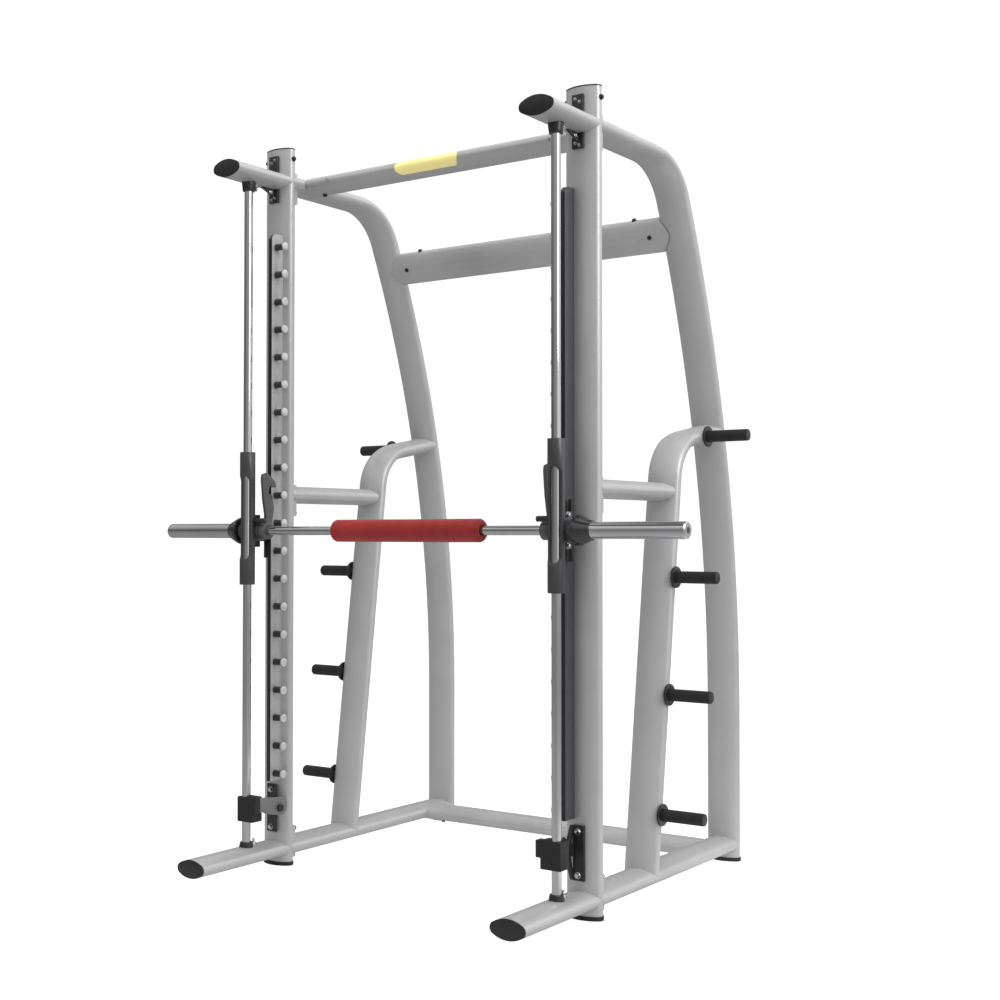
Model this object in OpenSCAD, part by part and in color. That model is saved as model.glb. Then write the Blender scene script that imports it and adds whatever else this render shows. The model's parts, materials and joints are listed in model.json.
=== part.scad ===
// Smith machine: a free-standing frame of oval steel tube, two upright guide rods with a
// linear carriage on each, and a barbell that turns in the carriages so that its two hooks
// catch on two ladders of pegs.  Millimetres.  +Z is up, X runs along the bar, and the front
// of the machine faces -Y.  The origin is on the floor, under the middle of the footprint.

/* [Frame] */
// Overall height, floor to the top of the upright caps
total_h = 2400; // [2390:5:2450]
// Distance between the centre lines of the two uprights
frame_w = 1200; // [1180:5:1300]
// Width of the oval tube, across the machine
tube_w = 115; // [113:1:117]
// Thickness of the oval tube, front to back
tube_t = 58; // [56:1:60]
// Wall of the oval tube
tube_wall = 3; // [2:0.5:4]
// Height of the base rails' centre line
base_z = 54; // [50:1:60]
// Height of the top rails' centre line
rail_z = 2290; // [2285:1:2295]
// Distance from the uprights back to the rear legs
leg_y = 906; // [890:2:930]

/* [Guide rods and bar] */
// Radius of a guide rod
rod_r = 14; // [12:0.5:14]
// How far the guide rods stand in front of the uprights
rod_y = 152; // [150:1:156]
// Radius of the bar's shaft
shaft_r = 14; // [12.5:0.5:14]
// Overall length of the bar, over the ends of its sleeves
bar_len = 1990; // [1900:10:2200]
// Outside radius of the plate sleeves
sleeve_r = 24; // [23:0.5:25]
// Tilt of the hooks away from the pegs as drawn, from their latched position
hook_tilt = 18; // [17:1:20]

/* [Pegs] */
// Number of pegs on each side
peg_count = 20; // [14:1:20]
// Distance from one peg to the next
peg_pitch = 92; // [90:1:92]
// Radius of a peg
peg_r = 11; // [8:0.5:11]
// Height of the lowest peg
peg_z = 310; // [305:1:330]
// Peg that the hooks are level with as drawn, counted from 0 at the bottom
rest_peg = 10; // [4:1:12]

/* [Plate storage] */
// Length of a storage horn, from the post to its end
horn_len = 146; // [120:1:220]
// Outside radius of a storage horn's rubber sleeve
horn_r = 19; // [18:0.5:24]
// Height of the lowest storage horn
horn_z = 243; // [235:1:260]
// Height from one storage horn to the next
horn_pitch = 362; // [340:2:380]

/* [Hidden] */
$fn = 64;

// Colours
frame_c = [0.72, 0.73, 0.74];
black_c = [0.07, 0.07, 0.075];
dark_c = [0.19, 0.19, 0.20];
steel_c = [0.50, 0.51, 0.52];
chrome_c = [0.85, 0.86, 0.88];
bronze_c = [0.66, 0.52, 0.28];
red_c = [0.55, 0.07, 0.08];
cream_c = [0.87, 0.82, 0.62];

// Places across the machine are distances from its middle plane, and places along it are
// distances from the uprights' centre line, until on_side() or centred() moves them.
side_x = frame_w / 2;
tube_a = tube_w / 2;
tube_b = tube_t / 2;
cap_t = 4;
plug_gap = 0.3;
plug_len = 18;
foot_h = 12;
foot_lip = 3;
seam = 0.03;
ferrule_len = 24;
stub_front = 396;
arm_front = 256;
arm_z = rail_z - 2;
stub_back = 6;
upright_top = total_h - cap_t;
flange_t = 8;
flange_half_w = 42;
flange_over = 43;
flange_under = 4;
flange_bolt_up = 32;
origin_y = (leg_y + tube_b + foot_lip - stub_front) / 2;

// Oval section, from two flat arcs and two end arcs that are tangent where they meet, drawn
// as a fine polygon.  A quarter runs from the end of the long axis to that of the short one.
end_steps = 5;
flat_steps = 4;
function end_arc(b) = b * 0.62;
function flat_arc(a, b) = (pow(a - end_arc(b), 2) + b * b - pow(end_arc(b), 2)) / (2 * (b - end_arc(b)));
function quarter(a, b) =
    let (r = end_arc(b), big = flat_arc(a, b), meet = atan2(a - r, big - b))
    concat([for (i = [0 : end_steps]) let (t = (90 - meet) * i / end_steps)
            [a - r + r * cos(t), r * sin(t)]],
        [for (i = [1 : flat_steps]) let (t = meet * (1 - i / flat_steps))
            [big * sin(t), b - big + big * cos(t)]]);
function oval_points(a, b) =
    let (q = quarter(a, b), n = len(q) - 1)
    [for (k = [0 : 3], i = [0 : n - 1]) let (p = k % 2 == 0 ? q[i] : q[n - i])
        [(k == 0 || k == 3 ? 1 : -1) * p[0], (k < 2 ? 1 : -1) * p[1]]];

// Rear leg: a straight foot, one long sweep, one tight bend, then the level top rail
leg_straight_z = 520;
leg_sweep_r = 4040;
leg_bend_r = 195;
leg_sweep_y = leg_y - leg_sweep_r;
leg_sweep_a = asin((rail_z - leg_bend_r - leg_straight_z) / (leg_sweep_r - leg_bend_r));
leg_sweep_z = leg_straight_z + leg_sweep_r * sin(leg_sweep_a);
leg_bend_y = leg_sweep_y + (leg_sweep_r - leg_bend_r) * cos(leg_sweep_a);
function leg_lean(z) = asin((z - leg_straight_z) / leg_sweep_r);
function leg_axis_y(z) = leg_sweep_y + leg_sweep_r * cos(leg_lean(z));

// Storage post: leans back, bends, and runs up into the rear leg
post_foot_y = 332;
post_lean = 7.3;
post_straight = 1236;
post_bend_r = 150;
post_rise = 10;
post_bend_y = post_foot_y + post_straight * sin(post_lean) + post_bend_r * cos(post_lean);
post_bend_z = base_z + post_straight * cos(post_lean) - post_bend_r * sin(post_lean);
post_run_y = post_bend_y - post_bend_r * sin(post_rise);
post_run_z = post_bend_z + post_bend_r * cos(post_rise);
post_run_len = 190;
run_meets_z = 1436;
leg_fit = 0.3;
link_z = 1234;

// Crossmembers
top_cross_y = 117;
rear_cross_z = 2081;
floor_cross_y = 793;
cross_stub_len = 110;
cope_gap = 3;
cope_fit = 0.4;

// Guide rods, their collars, and the plates that carry the top arms
rod_low = base_z + 8;
rod_high = arm_z - 8;
collar_low_h = 15;
collar_top_h = 28;
collar_wide_r = 24;
collar_narrow_r = 20;
collar_sink = 6;
collar_bolt_y = rod_y - 34;
arm_plate_w = 37;
arm_plate_h = 157;
arm_plate_low = arm_z - 73;
arm_plate_t = 8;
arm_rib_t = 8;
arm_rib_len = 55;
arm_rib_drop = 22;

// Peg rail and pegs
peg_rail_x = 567;
peg_rail_t = 15;
peg_rail_front = 77;
peg_rail_round = 24;
peg_rail_low = peg_z - 24;
peg_rail_high = peg_z + peg_pitch * (peg_count - 1) + 45;
peg_y = 54;
peg_tip_x = 527;
peg_head_t = 5;
peg_head_r = peg_r + 2.5;
peg_root_r = peg_r - 3;
peg_seat = 10;

// Lower stop: bracket on the upright, pin, arm plate and the bumper around the guide rod
stop_z = 199;
stop_y = 54;
stop_pin_r = 8;
stop_plate_z = 112;
stop_plate_h = 158;
stop_ear_x = 572;
stop_ear_t = 8;
stop_ear_nose = 16;
stop_arm_x = 544;
stop_arm_t = 12;
bumper_in = stop_arm_x + stop_arm_t;
bumper_out = 624;
bumper_cheek_in = 541;
bumper_cheek_back = 147;
bumper_front = 170;
bumper_back = 124;
bumper_low = 165;
bumper_step = 196;
bumper_top = 246;

// Carriage.  Heights are from the bar's axis.
bar_y = 118;
hook_reach = 118;
bar_z = peg_z + peg_pitch * rest_peg - hook_reach;
house_r = 25;
house_low = -176;
house_high = 258;
window_low = -97;
window_high = 183;
window_end_r = 24;
window_cut = 6;
run_gap = 0.05;
rod_bush_r = rod_r + 4;
rod_bush_len = 70;
rod_way_r = rod_r + 2;
hub_in_x = 561;
hub_in_r = 30;
hub_out_x = 647;
hub_out_r = 32;
block_in = 580;
block_out = 620;
block_back = 84;
block_half_h = 34;
bar_way_r = shaft_r + 0.8;
bar_bush_r = shaft_r + 3.5;
bar_bush_in = 12;
bar_bush_out = 18;
block_flange_x = 603;
block_flange_t = 11;
block_flange_h = 106;
block_flange_d = 48;
block_bolt_z = 44;
block_bolt_r = 7;
block_bolt_y = 114;
strip_x = 590;
strip_t = 12;
strip_front = 74;
strip_back = 62;
strip_h = 178;
strip_web_h = 40;
turn_stop_r = 8.5;
turn_stop_y = 144;
turn_stop_z = 33;
turn_stop_end = 531;
turn_stop_root = 574;
turn_stop_spigot = 5;

// Hook, drawn latched with the bar's axis at its origin
hook_x = 546;
hook_t = 10;
hook_boss_in = 538;
hook_boss_out = 559;
hook_boss_r = 28;
catch_y = bar_y - peg_y;
catch_gap = 2.6;

// Bar ends and pad
collar_x = 651;
collar_rim = 10;
collar_r = 44;
collar_end_x = 700;
collar_end_r = 27;
sleeve_end = bar_len / 2;
sleeve_bevel = 4;
shaft_end = sleeve_end - 14;
sleeve_land = 45;
sleeve_cap_t = 10;
sleeve_cap_r = 19;
pad_len = 570;
pad_bore_r = shaft_r + 0.7;
pad_x = 38;
pad_r = 36;
pad_round = 14;

// ---- shapes ------------------------------------------------------------------------------

// Outline of the oval, half width a along x and half thickness b along y
module oval(a, b) {
    polygon(oval_points(a, b));
}

// The tube's section, hollow or filled; turned puts its width along y
module section(hollow = true, turned = false) {
    rotate(turned ? 90 : 0) difference() {
        oval(tube_a, tube_b);
        if (hollow) oval(tube_a - tube_wall, tube_b - tube_wall);
    }
}

module centred() {
    translate([0, -origin_y, 0]) children();
}

// The left half is the mirror image of the right half
module on_side(s) {
    centred() mirror([s < 0 ? 1 : 0, 0, 0]) children();
}

module both_sides() {
    for (s = [-1, 1]) on_side(s) children();
}

// Extrude towards +Y; the outline's x stays across the machine
module along_y(length) {
    rotate([-90, 0, 0]) linear_extrude(length) children();
}

// Extrude towards +X; the outline's x runs to the back and its y runs up
module along_x(length) {
    rotate([90, 0, 90]) linear_extrude(length) children();
}

// Part of a ring about an axis along X, from angle from_a to to_a (0 is the back, 90 is up)
module bend(y, z, r, from_a, to_a) {
    ease = seam / r * 180 / PI;
    translate([side_x, y, z]) rotate([90, 0, 90]) rotate(from_a + ease)
        rotate_extrude(angle = to_a - from_a - 2 * ease, $fn = 360) translate([r, 0]) children();
}

// Ring inside a tube that joins a bend to its neighbour
module ferrule() {
    translate([0, 0, -ferrule_len / 2]) linear_extrude(ferrule_len) difference() {
        oval(tube_a - tube_wall / 2, tube_b - tube_wall / 2);
        oval(tube_a - 2 * tube_wall, tube_b - 2 * tube_wall);
    }
}

// Round bar along X
module rod_x(x0, x1, y, z, r) {
    translate([x0, y, z]) rotate([0, 90, 0]) cylinder(r = r, h = x1 - x0);
}

// Hexagon head above z = 0, with its washer
module bolt_head(r) {
    cylinder(r = r * 1.25, h = r * 0.25);
    translate([0, 0, r * 0.25]) cylinder(r = r, h = r * 0.75, $fn = 6);
}

// ---- frame tubes -------------------------------------------------------------------------

module upright_tube(hollow = true) {
    translate([side_x, 0, foot_h]) linear_extrude(upright_top - foot_h) section(hollow);
}

module leg_sweep(hollow = true) {
    bend(leg_sweep_y, leg_straight_z, leg_sweep_r, 0, leg_sweep_a) section(hollow, true);
}

module leg_tube() {
    translate([side_x, leg_y, foot_h]) linear_extrude(leg_straight_z - foot_h) section();
    leg_sweep();
    bend(leg_bend_y, rail_z - leg_bend_r, leg_bend_r, leg_sweep_a, 90) section(true, true);
    difference() {
        translate([side_x, stub_back, rail_z]) along_y(leg_bend_y - stub_back) section();
        upright_tube(false);
        flange_blank(rail_z, -1);
    }
    translate([side_x, leg_y, leg_straight_z]) ferrule();
    translate([side_x, leg_axis_y(leg_sweep_z), leg_sweep_z]) rotate([leg_sweep_a, 0, 0]) ferrule();
    translate([side_x, leg_bend_y, rail_z]) rotate([90, 0, 0]) ferrule();
}

// Straight stand-in for the leg near height z, to fit other tubes to it
module leg_tangent(z) {
    translate([side_x, leg_axis_y(z) - leg_fit, z]) rotate([leg_lean(z), 0, 0])
        translate([0, 0, -tube_w]) linear_extrude(2 * tube_w) section(false);
}

module at_post() {
    translate([side_x, post_foot_y, base_z]) rotate([-post_lean, 0, 0]) children();
}

module post_shaft(hollow = true) {
    at_post() linear_extrude(post_straight) section(hollow);
}

module post_run(hollow = true) {
    translate([side_x, post_run_y, post_run_z]) rotate([post_rise, 0, 0])
        along_y(post_run_len) section(hollow);
}

// Filled outline of the base rail, to fit other tubes to it
module base_rail_solid() {
    translate([side_x, tube_t, base_z]) along_y(leg_y - tube_t) section(false);
}

module stub_tube(front, z, hollow = true) {
    translate([side_x, cap_t - front, z]) along_y(front - cap_t - stub_back) section(hollow);
}

// Blank of the plate that bolts the tube at height z to an upright; it reaches past the tube
// upwards (way 1) or downwards (way -1), where its bolts are
module flange_blank(z, way) {
    middle = z + way * (flange_over - flange_under) / 2;
    height = tube_t + flange_over + flange_under;
    translate([side_x - flange_half_w, tube_b / 2, middle - height / 2])
        cube([2 * flange_half_w, tube_b / 2 + flange_t, height]);
}

module upright(s) {
    color(frame_c) on_side(s) upright_tube();
}

module base_stub(s) {
    color(frame_c) on_side(s) difference() {
        stub_tube(stub_front, base_z);
        upright_tube(false);
        translate([side_x, -rod_y, base_z]) cylinder(r = rod_r, h = tube_t);
    }
}

module top_arm(s) {
    color(frame_c) on_side(s) difference() {
        stub_tube(arm_front, arm_z);
        upright_tube(false);
        arm_plate_blank();
        translate([side_x, -rod_y, arm_z - tube_t]) cylinder(r = rod_r, h = tube_t);
    }
}

module base_rail(s) {
    color(frame_c) on_side(s) difference() {
        translate([side_x, stub_back, base_z]) along_y(leg_y - stub_back) section();
        upright_tube(false);
        flange_blank(base_z, 1);
        translate([side_x, leg_y, foot_h]) linear_extrude(tube_w) section(false);
    }
}

module rear_leg(s) {
    color(frame_c) on_side(s) leg_tube();
}

module storage_post(s) {
    color(frame_c) on_side(s) difference() {
        union() {
            post_shaft();
            bend(post_bend_y, post_bend_z, post_bend_r, 90 + post_rise, 180 - post_lean)
                section(true, true);
            post_run();
            at_post() translate([0, 0, post_straight]) ferrule();
            translate([side_x, post_run_y, post_run_z]) rotate([post_rise - 90, 0, 0]) ferrule();
        }
        base_rail_solid();
        leg_tangent(run_meets_z);
    }
}

module link_arm(s) {
    color(frame_c) on_side(s) difference() {
        translate([side_x, stub_back, link_z]) along_y(post_foot_y + tube_w) section();
        upright_tube(false);
        flange_blank(link_z, -1);
        post_shaft(false);
        translate([0, post_foot_y + tube_w + tube_b, link_z - tube_w])
            cube([frame_w, frame_w, 2 * tube_w]);
    }
}

// ---- crossmembers ------------------------------------------------------------------------

// Tube across the machine, before its ends are shaped to the two side frames
module cross_tube(hollow = true) {
    translate([-side_x, 0, 0]) along_x(2 * side_x) section(hollow);
}

// Short stub inside each end of a crossmember, which the bolts go into
module cross_stub() {
    inner = tube_wall + plug_gap;
    translate([side_x - tube_a - cross_stub_len, 0, 0]) along_x(tube_a + cross_stub_len) difference() {
        oval(tube_a - inner, tube_b - inner);
        oval(tube_a - inner - tube_wall, tube_b - inner - tube_wall);
    }
}

module at_top_cross() {
    translate([0, top_cross_y, rail_z]) children();
}

module at_rear_cross() {
    translate([0, leg_axis_y(rear_cross_z), rear_cross_z])
        rotate([90 + leg_lean(rear_cross_z), 0, 0]) children();
}

module at_floor_cross() {
    translate([0, floor_cross_y, base_z]) children();
}

// Filled outlines, grown by gap, of the side tubes that the crossmembers run up to
module top_side_tube(gap) {
    translate([side_x, 0, rail_z]) along_y(leg_y) oval(tube_a + gap, tube_b + gap);
}

module rear_side_tube(gap) {
    translate([side_x, leg_axis_y(rear_cross_z), rear_cross_z])
        rotate([leg_lean(rear_cross_z), 0, 0]) translate([0, 0, -tube_w])
        linear_extrude(2 * tube_w) oval(tube_a + gap, tube_b + gap);
}

module top_crossmember() {
    color(frame_c) centred() difference() {
        at_top_cross() cross_tube();
        for (s = [0, 1]) mirror([s, 0, 0]) top_side_tube(cope_gap);
    }
}

module rear_crossmember() {
    color(frame_c) centred() difference() {
        at_rear_cross() cross_tube();
        for (s = [0, 1]) mirror([s, 0, 0]) rear_side_tube(cope_gap);
    }
}

module floor_crossmember() {
    color(frame_c) centred() difference() {
        at_floor_cross() cross_tube();
        for (s = [0, 1]) mirror([s, 0, 0]) base_rail_solid();
    }
}

module crossmember_stubs() {
    color(frame_c) both_sides() {
        difference() {
            at_top_cross() cross_stub();
            top_side_tube(0);
        }
        difference() {
            at_rear_cross() cross_stub();
            rear_side_tube(cope_fit);
        }
        difference() {
            at_floor_cross() cross_stub();
            base_rail_solid();
        }
    }
}

// Plates that bolt the base rail, link arm and top rail to the back of an upright
module rail_flanges() {
    color(frame_c) both_sides() for (f = [[base_z, 1], [link_z, -1], [rail_z, -1]])
        difference() {
            flange_blank(f[0], f[1]);
            upright_tube(false);
        }
}

// Blank of the black plate behind each top arm, before it is fitted to the upright
module arm_plate_blank() {
    translate([side_x - arm_plate_w / 2, -tube_b - arm_plate_t, arm_plate_low])
        cube([arm_plate_w, arm_plate_t + tube_b / 2, arm_plate_h]);
}

module top_arm_plates() {
    plate_front = -tube_b - arm_plate_t;
    under = arm_z - tube_b;
    color(black_c) both_sides() {
        difference() {
            arm_plate_blank();
            upright_tube(false);
        }
        difference() {
            translate([side_x - arm_rib_t / 2, 0, 0]) along_x(arm_rib_t)
                polygon([[plate_front, under - arm_rib_drop], [plate_front, under + 4],
                    [plate_front - arm_rib_len, under + 4], [plate_front - arm_rib_len, under - 3]]);
            stub_tube(arm_front, arm_z, false);
        }
    }
}

// ---- caps, feet, name plate and bolts ----------------------------------------------------

// Oval cap above z = 0 with a plug that goes into the tube below it
module oval_cap(lip, thick) {
    inner_a = tube_a - tube_wall - plug_gap;
    inner_b = tube_b - tube_wall - plug_gap;
    linear_extrude(thick) oval(tube_a + lip, tube_b + lip);
    translate([0, 0, -plug_len]) linear_extrude(plug_len) oval(inner_a, inner_b);
}

module upright_caps() {
    color(black_c) both_sides() translate([side_x, 0, upright_top]) oval_cap(0.5, cap_t);
}

module tube_end_caps() {
    color(black_c) both_sides() for (end = [[stub_front, base_z], [arm_front, arm_z]])
        translate([side_x, -end[0] + cap_t, end[1]]) rotate([90, 0, 0]) oval_cap(0, cap_t);
}

module feet() {
    color(black_c) both_sides() for (y = [0, leg_y])
        translate([side_x, y, foot_h]) rotate([180, 0, 0]) oval_cap(foot_lip, foot_h);
}

plate_len = 250;
plate_h = 44;
plate_skin = 1.5;
plate_x = -30;

// Blank name plate with rounded corners, bent to the front of the top crossmember
module name_plate() {
    r = plate_h / 2.1;
    outline = [for (q = [0 : 3], i = [0 : 6])
        [(q == 0 || q == 3 ? 1 : -1) * (plate_len / 2 - r) + r * cos(90 * q + 15 * i),
            (q < 2 ? 1 : -1) * (plate_h / 2 - r) + r * sin(90 * q + 15 * i)]];
    color(cream_c) centred() difference() {
        intersection() {
            at_top_cross() translate([-plate_len, 0, 0])
                along_x(2 * plate_len) oval(tube_a + plate_skin, tube_b + plate_skin);
            translate([plate_x, top_cross_y - tube_a / 2, rail_z]) rotate([90, 0, 0])
                linear_extrude(tube_a) polygon(outline);
        }
        at_top_cross() cross_tube(false);
    }
}

cap_bolt_z = 2364;
cross_bolt_near = 95;
cross_bolt_far = 154;

// Bolt head with its washer shaped to the tube under it, once the tube is cut away
module seated_bolt(r) {
    translate([0, 0, -5]) cylinder(r = r * 1.25, h = 5);
    bolt_head(r);
}

module frame_bolts() {
    flange_back = tube_b + flange_t;
    flange_bolts = [[32, base_z + tube_b + flange_bolt_up], [29, link_z - tube_b - flange_bolt_up],
        [14, rail_z - tube_b - flange_bolt_up]];
    color(black_c) both_sides() {
        for (b = flange_bolts, x = [-1, 1])
            translate([side_x + x * b[0], flange_back, b[1]]) rotate([-90, 0, 0]) bolt_head(8);
        for (x = [-1, 1]) translate([side_x + x * tube_a, 0, cap_bolt_z])
            rotate([0, x * 90, 0]) bolt_head(7);
        difference() {
            at_top_cross() translate([side_x - cross_bolt_near, 0, -tube_b])
                rotate([180, 0, 0]) seated_bolt(7);
            at_top_cross() cross_tube(false);
        }
        difference() {
            at_rear_cross() {
                translate([side_x - cross_bolt_near, 0, tube_b]) seated_bolt(6);
                translate([side_x - cross_bolt_far, tube_a, 0]) rotate([-90, 0, 0]) seated_bolt(7);
            }
            at_rear_cross() cross_tube(false);
        }
        difference() {
            at_floor_cross() {
                translate([side_x - cross_bolt_near, 0, -tube_b]) rotate([180, 0, 0]) seated_bolt(7);
                translate([side_x - cross_bolt_far, tube_a, 0]) rotate([-90, 0, 0]) seated_bolt(7);
            }
            at_floor_cross() cross_tube(false);
        }
    }
}

// ---- guide rods, pegs and stops ----------------------------------------------------------

module guide_rod(s) {
    color(chrome_c) on_side(s) translate([side_x, -rod_y, rod_low])
        cylinder(r = rod_r, h = rod_high - rod_low);
}

module rod_collars() {
    color(black_c) both_sides() translate([side_x, -rod_y, 0]) {
        difference() {
            translate([0, 0, base_z + tube_b - collar_sink])
                cylinder(r1 = collar_wide_r, r2 = collar_narrow_r, h = collar_low_h + collar_sink);
            translate([0, 0, base_z]) cylinder(r = rod_r, h = tube_w);
            translate([0, -tube_w, base_z]) along_y(2 * tube_w) section(false);
        }
        difference() {
            translate([0, 0, arm_z - tube_b - collar_top_h])
                cylinder(r1 = collar_narrow_r, r2 = collar_wide_r, h = collar_top_h + collar_sink);
            translate([0, 0, arm_z - tube_w]) cylinder(r = rod_r, h = tube_w);
            translate([0, -tube_w, arm_z]) along_y(2 * tube_w) section(false);
        }
    }
}

module bright_bolts() {
    plate_front = -tube_b - arm_plate_t;
    rib_bolt_y = plate_front - 16;
    rib_bolt_z = arm_z - tube_b - 10;
    color(chrome_c) both_sides() {
        translate([side_x, -collar_bolt_y, base_z + tube_b]) collar_bolt();
        translate([side_x, -collar_bolt_y, arm_z - tube_b]) rotate([180, 0, 0]) collar_bolt();
        for (b = [[-7, arm_z + 70], [7, arm_z + 61], [-6.5, arm_z - 58], [6.5, arm_z - 64]])
            translate([side_x + b[0], plate_front, b[1]]) rotate([90, 0, 0]) bolt_head(4.5);
        for (x = [-1, 1]) translate([side_x + x * arm_rib_t / 2, rib_bolt_y, rib_bolt_z])
            rotate([0, x * 90, 0]) bolt_head(5);
        for (z = [stop_plate_z + 16, stop_plate_z + stop_plate_h - 18])
            translate([side_x, plate_front, z]) rotate([90, 0, 0]) bolt_head(8);
        difference() {
            at_top_cross() translate([side_x - cross_bolt_far, -tube_a, 0]) rotate([90, 0, 0])
                seated_bolt(6);
            at_top_cross() cross_tube(false);
        }
    }
}

// Nut on a stud that locks a rod's collar
module collar_bolt() {
    bolt_head(8);
    translate([0, 0, 8]) cylinder(r = 4, h = 12);
}

// Channel for the pegs, rounded at the front of its top end
module peg_rail(s) {
    back = -tube_b / 3;
    corner = [for (t = [0 : 15 : 90]) [peg_rail_round * (1 - sin(t)) - peg_rail_front,
        peg_rail_high - peg_rail_round * (1 - cos(t))]];
    color(dark_c) on_side(s) difference() {
        translate([peg_rail_x, 0, 0]) along_x(peg_rail_t)
            polygon(concat(corner, [[-peg_rail_front, peg_rail_low], [back, peg_rail_low],
                [back, peg_rail_high]]));
        upright_tube(false);
        for (i = [0 : peg_count - 1])
            rod_x(peg_rail_x - 1, peg_rail_x + peg_seat, -peg_y, peg_z + i * peg_pitch, peg_root_r);
    }
}

module pegs(s) {
    color(steel_c) on_side(s) for (i = [0 : peg_count - 1])
        translate([0, -peg_y, peg_z + i * peg_pitch]) {
            rod_x(peg_rail_x, peg_rail_x + peg_seat, 0, 0, peg_root_r);
            rod_x(peg_tip_x + peg_head_t, peg_rail_x, 0, 0, peg_r);
            rod_x(peg_tip_x, peg_tip_x + peg_head_t, 0, 0, peg_head_r);
        }
}

module stop_brackets() {
    plate_front = -tube_b - arm_plate_t;
    plate_top = stop_plate_z + stop_plate_h;
    color(black_c) both_sides() {
        difference() {
            translate([side_x - arm_plate_w / 2, plate_front, stop_plate_z])
                cube([arm_plate_w, arm_plate_t + tube_b / 2, stop_plate_h]);
            upright_tube(false);
        }
        translate([stop_ear_x, 0, 0]) along_x(stop_ear_t + 3) difference() {
            union() {
                polygon([[plate_front, plate_top], [plate_front, plate_top - 20],
                    [plate_front, stop_plate_z + 20], [plate_front, stop_plate_z],
                    [-stop_y - stop_ear_nose, stop_z - 6], [-stop_y - stop_ear_nose, stop_z + 6]]);
                translate([-stop_y, stop_z]) circle(r = stop_ear_nose);
            }
            polygon([[plate_front, plate_top - 30], [plate_front, stop_z + 18],
                [-stop_y + 6, stop_z + 18]]);
            polygon([[plate_front, stop_plate_z + 30], [plate_front, stop_z - 18],
                [-stop_y + 6, stop_z - 18]]);
            translate([-stop_y, stop_z]) circle(r = stop_pin_r);
        }
    }
}

// Arm plate along the bumper's inner face, round where the pin holds it
module stop_arms() {
    color(steel_c) both_sides() translate([stop_arm_x, 0, 0]) along_x(stop_arm_t) difference() {
        union() {
            polygon([[-bumper_cheek_back, bumper_step], [-131, stop_z - 2], [-112, stop_z - 12],
                [-stop_y, stop_z - 25], [-stop_y, stop_z + 34], [-95, stop_z + 39],
                [-133, stop_z + 43], [-bumper_cheek_back, bumper_top]]);
            translate([-stop_y + 5, stop_z + 4.5]) circle(r = 29.5);
        }
        translate([-stop_y, stop_z]) circle(r = stop_pin_r);
    }
}

module stop_pins() {
    pin_end = stop_ear_x + stop_ear_t + 5;
    color(dark_c) both_sides() {
        rod_x(stop_arm_x - 3, pin_end, -stop_y, stop_z, stop_pin_r);
        rod_x(stop_arm_x - 8, stop_arm_x, -stop_y, stop_z, stop_pin_r + 4);
    }
}

module stop_bumpers() {
    color(black_c) both_sides() difference() {
        union() {
            translate([bumper_in, -bumper_front, bumper_low])
                cube([bumper_out - bumper_in, bumper_front - bumper_back, bumper_top - bumper_low]);
            translate([bumper_cheek_in, -bumper_front, bumper_step])
                cube([side_x - bumper_cheek_in - rod_r - 8, bumper_front - bumper_cheek_back,
                    bumper_top - bumper_step]);
        }
        translate([side_x, -rod_y, 0]) cylinder(r = rod_r, h = 2 * bumper_top);
    }
}

// ---- plate storage -----------------------------------------------------------------------

horn_top_y = 673;
horn_tube_r = horn_r - 3;
horn_flange_r = 34;
horn_flange_t = 7;
horn_base_x = side_x + tube_a;
function post_axis_y(z) = post_foot_y + (z - base_z) * tan(post_lean);
function run_axis_z(y) = post_run_z + (y - post_run_y) * tan(post_rise);
horn_places = concat(
    [for (i = [0 : 2]) [post_axis_y(horn_z + i * horn_pitch), horn_z + i * horn_pitch]],
    [[horn_top_y, run_axis_z(horn_top_y)]]);

module horn_tubes() {
    color(steel_c) both_sides() for (p = horn_places) difference() {
        rod_x(horn_base_x - 12, horn_base_x + horn_len - 3, p[0], p[1], horn_tube_r);
        rod_x(horn_base_x - 13, horn_base_x + horn_len, p[0], p[1], horn_tube_r - 3);
        post_shaft(false);
        post_run(false);
    }
}

module horn_flanges() {
    color(black_c) both_sides() for (p = horn_places) difference() {
        rod_x(horn_base_x, horn_base_x + horn_flange_t, p[0], p[1], horn_flange_r);
        rod_x(horn_base_x - 1, horn_base_x + horn_len, p[0], p[1], horn_tube_r);
    }
}

module horn_sleeves() {
    color(black_c) both_sides() for (p = horn_places) difference() {
        rod_x(horn_base_x + horn_flange_t, horn_base_x + horn_len - 3, p[0], p[1], horn_r);
        rod_x(horn_base_x, horn_base_x + horn_len, p[0], p[1], horn_tube_r);
    }
}

module horn_end_caps() {
    color(black_c) both_sides() for (p = horn_places)
        rod_x(horn_base_x + horn_len - 3, horn_base_x + horn_len, p[0], p[1], horn_r - 1);
}

// ---- carriages ---------------------------------------------------------------------------

module at_bar() {
    translate([0, -bar_y, bar_z]) children();
}

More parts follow.
